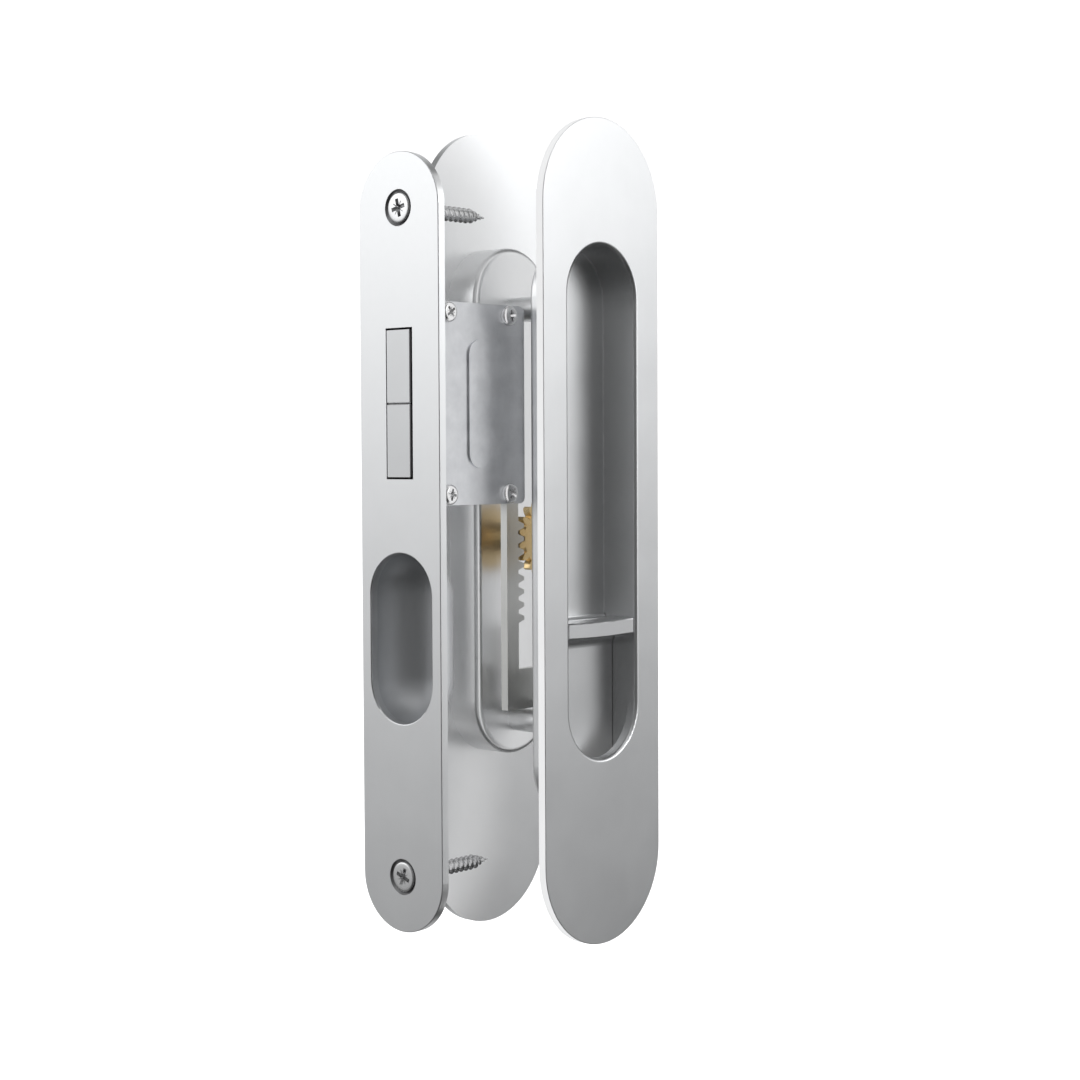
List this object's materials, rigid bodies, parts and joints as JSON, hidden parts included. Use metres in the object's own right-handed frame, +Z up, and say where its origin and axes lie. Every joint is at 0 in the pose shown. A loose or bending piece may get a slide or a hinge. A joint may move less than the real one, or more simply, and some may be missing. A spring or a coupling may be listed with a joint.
{
  "type": "pocket door privacy lock",
  "caption": "Privacy lock for a sliding pocket door: obround edge plate with twin hook bolt and finger pull, inner flush pull with sliding snib, outer flush pull with coin release.",
  "frame": {"origin": "middle of the line between the two edge screws, on the seat (back face) of the faceplate", "axes": "+X into the panel from its leading edge, +Y through its thickness from the snib side to the outer side, +Z up"},
  "size_m": [0.0681, 0.0392, 0.194],
  "materials": {
    "satin_plate": "satin, fine vertical grain",
    "satin_pull": "satin plated casting",
    "satin_cup": "satin, pressed cup",
    "satin_snib": "satin",
    "screw_steel": "bright machined",
    "bolt_steel": "ground satin",
    "zinc_case": "zinc plated",
    "plated_sheet": "zinc plated sheet",
    "spring_steel": "blued spring steel",
    "pinion_brass": "machined brass"
  },
  "bodies": {
    "root": {"faceplate": "satin_plate", "faceplate_screws": "screw_steel", "edge_pull_cup": "satin_cup", "lock_case": "zinc_case", "case_cover": "zinc_case", "cover_screws": "screw_steel", "case_nuts": "screw_steel", "hook_cam_pins": "bolt_steel", "inner_pull": "satin_pull", "detent_spring": "spring_steel", "spring_rivet": "bolt_steel", "outer_pull": "satin_pull", "pull_bolts": "screw_steel"},
    "snib": {"snib_slider": "satin_snib", "snib_screws": "screw_steel", "drive_plate": "plated_sheet", "cam_slide": "plated_sheet"},
    "hook_carriage": {"carriage": "plated_sheet", "hook_pins": "bolt_steel", "carriage_pin": "bolt_steel"},
    "upper_hook": {"upper_hook": "bolt_steel"},
    "lower_hook": {"lower_hook": "bolt_steel"},
    "release": {"release_turn": "satin_snib", "release_pinion": "pinion_brass", "release_clip": "spring_steel"}
  },
  "joints": [
    {"name": "snib_slide", "type": "slide", "parent": "root", "child": "snib", "axis": [0, 0, 1], "range_m": [0, 0.01256], "deforming": ["detent_spring"]},
    {"name": "carriage_slide", "type": "slide", "parent": "root", "child": "hook_carriage", "axis": [-1, 0, 0], "range_m": [0, 0.012]},
    {"name": "upper_hook_pivot", "type": "hinge", "parent": "hook_carriage", "child": "upper_hook", "pos_m": [0.019, 0, 0.0365], "axis": [0, 1, 0], "range_deg": [0, 30]},
    {"name": "lower_hook_pivot", "type": "hinge", "parent": "hook_carriage", "child": "lower_hook", "pos_m": [0.019, 0, 0.0265], "axis": [0, -1, 0], "range_deg": [0, 30]},
    {"name": "release_pivot", "type": "hinge", "parent": "root", "child": "release", "pos_m": [0.04533, 0, 0], "axis": [0, 1, 0], "range_deg": [0, 90]}
  ],
  "couplings": [
    {"joint": "carriage_slide", "follows": "snib_slide", "ratio": 0.955},
    {"joint": "upper_hook_pivot", "follows": "snib_slide", "rad_per_m": 41.6},
    {"joint": "lower_hook_pivot", "follows": "snib_slide", "rad_per_m": 41.6},
    {"joint": "release_pivot", "follows": "snib_slide", "rad_per_m": 125}
  ]
}
